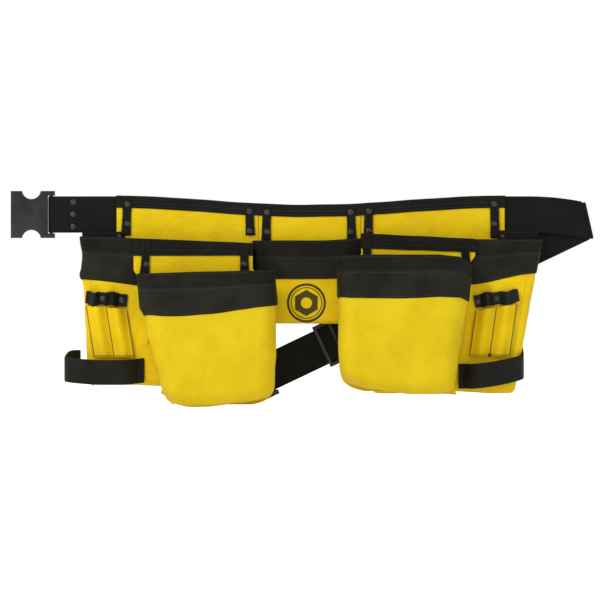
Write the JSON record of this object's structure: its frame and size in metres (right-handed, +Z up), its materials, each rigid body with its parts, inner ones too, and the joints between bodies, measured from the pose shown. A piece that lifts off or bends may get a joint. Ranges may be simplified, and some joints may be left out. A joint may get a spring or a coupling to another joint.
{
  "type": "tool belt",
  "caption": "Carpenter's tool belt: webbing belt with side-release buckle, hip bags with front pouches, tool sleeves, hammer loops and a middle pocket.",
  "frame": {"origin": "a point on the lining's face that lies against the wearer, midway along the belt, 24 mm below the belt's top edge there", "axes": "+X along the belt towards the folded strap, +Y out of the lining towards the wearer, +Z up as worn"},
  "size_m": [0.7945, 0.1053, 0.2935],
  "materials": {
    "canvas": "coated yellow canvas",
    "webbing": "black woven webbing",
    "hem_tape": "black ribbed binding",
    "rivet": "gunmetal",
    "buckle": "moulded black"
  },
  "bodies": {
    "belt": {"back_panel_left": "canvas", "back_panel_middle": "canvas", "back_panel_right": "canvas", "bag_left": "canvas", "bag_right": "canvas", "pouch_left_panel": "canvas", "pouch_left": "canvas", "pouch_right_panel": "canvas", "pouch_right": "canvas", "middle_pocket": "canvas", "tool_sleeves_left": "canvas", "tool_sleeves_right": "canvas", "belt_webbing": "webbing", "strap_fold": "webbing", "hammer_loop_left": "webbing", "hammer_loop_right": "webbing", "tool_loop_left": "webbing", "tool_loop_right": "webbing", "waist_lining": "hem_tape", "top_binding": "hem_tape", "hanger_tab_left_outer": "hem_tape", "hanger_tab_left_inner": "hem_tape", "hanger_tab_middle_left": "hem_tape", "hanger_tab_middle_right": "hem_tape", "hanger_tab_right_inner": "hem_tape", "hanger_tab_right_outer": "hem_tape", "bag_left_hem": "hem_tape", "bag_right_hem": "hem_tape", "pouch_left_binding": "hem_tape", "pouch_left_tab_inner": "hem_tape", "pouch_left_tab_outer": "hem_tape", "pouch_left_hem": "hem_tape", "pouch_right_binding": "hem_tape", "pouch_right_tab_inner": "hem_tape", "pouch_right_tab_outer": "hem_tape", "pouch_right_hem": "hem_tape", "middle_pocket_hem": "hem_tape", "band_rivets": "rivet", "belt_end_rivets": "rivet", "pouch_rivets": "rivet", "loop_rivets": "rivet"},
    "socket": {"buckle_socket": "buckle"},
    "strap": {"strap_tail": "webbing"},
    "slider": {"slider": "buckle"},
    "plug": {"buckle_plug": "buckle"},
    "latch_upper": {"latch_arm_upper": "buckle"},
    "latch_lower": {"latch_arm_lower": "buckle"}
  },
  "joints": [
    {"name": "socket_swivel", "type": "hinge", "parent": "belt", "child": "socket", "pos_m": [-0.35, 0.0013, 0.0115], "axis": [0, 0, 1], "range_deg": [-90, 90]},
    {"name": "strap_unfold", "type": "hinge", "parent": "belt", "child": "strap", "pos_m": [0.38, 0.0009, 0.003], "axis": [0.2207, 0, -0.9753], "range_deg": [0, 180], "deforming": ["strap_fold"]},
    {"name": "slider_slide", "type": "slide", "parent": "strap", "child": "slider", "axis": [-0.9026, 0, -0.4305], "range_m": [-0.045, 0.04]},
    {"name": "plug_swivel", "type": "hinge", "parent": "strap", "child": "plug", "pos_m": [-0.05685, 0.0073, -0.20537], "axis": [0.4305, 0, -0.9026], "range_deg": [0, 90]},
    {"name": "latch_upper_flex", "type": "hinge", "parent": "plug", "child": "latch_upper", "pos_m": [-0.0863, 0.0073, -0.20169], "axis": [0, -1, 0], "range_deg": [0, 8], "stiffness_Nm_per_rad": 2},
    {"name": "latch_lower_flex", "type": "hinge", "parent": "plug", "child": "latch_lower", "pos_m": [-0.07253, 0.0073, -0.23057], "axis": [0, 1, 0], "range_deg": [0, 8], "stiffness_Nm_per_rad": 2}
  ]
}
